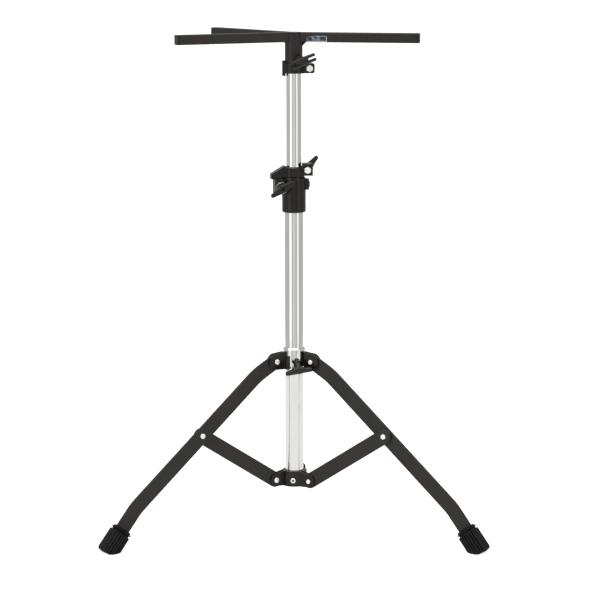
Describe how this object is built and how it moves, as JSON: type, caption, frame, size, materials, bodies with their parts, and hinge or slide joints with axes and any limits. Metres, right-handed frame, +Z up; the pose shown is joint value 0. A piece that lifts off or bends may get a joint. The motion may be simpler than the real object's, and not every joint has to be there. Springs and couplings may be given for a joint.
{
  "type": "practice pad stand",
  "caption": "Folding tripod stand with a telescoping chrome mast, square support arms on top, clamps with wing screws and braced flat-bar legs on rubber feet.",
  "frame": {"origin": "floor level, at the middle of the box that holds the whole stand; the mast axis is 85 mm in front of it, at x = 0, y = -0.085 m", "axes": "+Z up along the mast, +X to the right and -Y to the front, between the two front legs"},
  "size_m": [0.6245, 0.5472, 0.821],
  "materials": {
    "chrome": "bright chrome plate",
    "black_paint": "satin black powder coat",
    "black_casting": "semi-gloss black painted die casting",
    "black_plastic": "satin black moulding",
    "rubber": "matt black rubber",
    "zinc": "zinc plated fastener",
    "nylon": "dark nylon"
  },
  "bodies": {
    "mast": {"lower_tube": "chrome", "lower_tube_plug": "black_plastic", "lower_hub": "black_casting", "hub_screw": "zinc", "receiver_casting": "black_casting", "receiver_bushing": "nylon", "receiver_bolt": "zinc", "receiver_washer": "chrome", "lower_pivot_pin_left": "zinc", "lower_pivot_pin_right": "zinc", "lower_pivot_pin_rear": "zinc"},
    "receiver_wing": {"receiver_wing_nut": "black_plastic"},
    "memory_lock": {"memory_lock_ring": "black_casting", "memory_lock_bolt": "zinc"},
    "memory_lock_wing": {"memory_lock_wing_nut": "black_plastic"},
    "upper_tube": {"upper_tube": "chrome", "upper_tube_guide": "nylon"},
    "top_frame": {"hub_sleeve": "black_paint", "sleeve_cap": "black_plastic", "arm_left": "black_paint", "arm_right": "black_paint", "arm_rear": "black_paint", "arm_cap_left": "black_plastic", "arm_cap_right": "black_plastic", "arm_cap_rear": "black_plastic", "top_clamp": "black_casting", "top_clamp_bolt": "zinc", "top_clamp_nut": "zinc"},
    "top_wing": {"top_wing_screw": "black_plastic"},
    "collar": {"leg_collar": "chrome", "collar_boss": "black_casting", "leg_bracket_left": "black_casting", "leg_bracket_right": "black_casting", "leg_bracket_rear": "black_casting", "collar_pivot_pin_left": "zinc", "collar_pivot_pin_right": "zinc", "collar_pivot_pin_rear": "zinc"},
    "collar_wing": {"collar_wing_screw": "black_plastic"},
    "leg_left": {"leg_left": "black_paint", "rubber_foot_left": "rubber", "mid_pivot_bolt_left": "zinc"},
    "brace_left": {"brace_left": "black_paint", "mid_pivot_nut_left": "zinc"},
    "leg_right": {"leg_right": "black_paint", "rubber_foot_right": "rubber", "mid_pivot_bolt_right": "zinc"},
    "brace_right": {"brace_right": "black_paint", "mid_pivot_nut_right": "zinc"},
    "leg_rear": {"leg_rear": "black_paint", "rubber_foot_rear": "rubber", "mid_pivot_bolt_rear": "zinc"},
    "brace_rear": {"brace_rear": "black_paint", "mid_pivot_nut_rear": "zinc"}
  },
  "joints": [
    {"name": "memory_lock_slide", "type": "slide", "parent": "mast", "child": "memory_lock", "axis": [0, 0, 1], "range_m": [0, 0.1]},
    {"name": "upper_tube_slide", "type": "slide", "parent": "memory_lock", "child": "upper_tube", "axis": [0, 0, 1], "range_m": [-0.12, 0]},
    {"name": "top_swivel", "type": "hinge", "parent": "upper_tube", "child": "top_frame", "pos_m": [0, -0.085, 0.79], "axis": [0, 0, 1], "continuous": true},
    {"name": "top_wing_turn", "type": "hinge", "parent": "top_frame", "child": "top_wing", "pos_m": [0.01135, -0.10728, 0.7755], "axis": [0.454, -0.891, 0], "continuous": true},
    {"name": "memory_lock_wing_turn", "type": "hinge", "parent": "memory_lock", "child": "memory_lock_wing", "pos_m": [0.0226, -0.065, 0.5978], "axis": [0, 1, 0], "continuous": true},
    {"name": "receiver_wing_turn", "type": "hinge", "parent": "mast", "child": "receiver_wing", "pos_m": [-0.0186, -0.11286, 0.569], "axis": [0.1392, -0.9903, 0], "continuous": true},
    {"name": "collar_slide", "type": "slide", "parent": "mast", "child": "collar", "axis": [0, 0, 1], "range_m": [0, 0.1389]},
    {"name": "collar_wing_turn", "type": "hinge", "parent": "collar", "child": "collar_wing", "pos_m": [0.00557, -0.10912, 0.279], "axis": [0.1723, -0.7464, -0.6428], "continuous": true},
    {"name": "leg_left_fold", "type": "hinge", "parent": "collar", "child": "leg_left", "pos_m": [-0.03014, -0.1024, 0.2831], "axis": [0.5, -0.866, 0], "range_deg": [0, 45.5]},
    {"name": "brace_left_fold", "type": "hinge", "parent": "mast", "child": "brace_left", "pos_m": [-0.02901, -0.10175, 0.0839], "axis": [-0.5, 0.866, 0], "range_deg": [0, 50.82]},
    {"name": "leg_right_fold", "type": "hinge", "parent": "collar", "child": "leg_right", "pos_m": [0.03014, -0.1024, 0.2831], "axis": [0.5, 0.866, 0], "range_deg": [0, 45.5]},
    {"name": "brace_right_fold", "type": "hinge", "parent": "mast", "child": "brace_right", "pos_m": [0.02901, -0.10175, 0.0839], "axis": [-0.5, -0.866, 0], "range_deg": [0, 50.82]},
    {"name": "leg_rear_fold", "type": "hinge", "parent": "collar", "child": "leg_rear", "pos_m": [0, -0.0502, 0.2831], "axis": [-1, 0, 0], "range_deg": [0, 45.5]},
    {"name": "brace_rear_fold", "type": "hinge", "parent": "mast", "child": "brace_rear", "pos_m": [0, -0.0515, 0.0839], "axis": [1, 0, 0], "range_deg": [0, 50.82]}
  ],
  "couplings": [
    {"joint": "leg_left_fold", "follows": "collar_slide", "rad_per_m": 5.6544},
    {"joint": "brace_left_fold", "follows": "collar_slide", "rad_per_m": 6.3229},
    {"joint": "leg_right_fold", "follows": "collar_slide", "rad_per_m": 5.6544},
    {"joint": "brace_right_fold", "follows": "collar_slide", "rad_per_m": 6.3229},
    {"joint": "leg_rear_fold", "follows": "collar_slide", "rad_per_m": 5.6544},
    {"joint": "brace_rear_fold", "follows": "collar_slide", "rad_per_m": 6.3229}
  ]
}
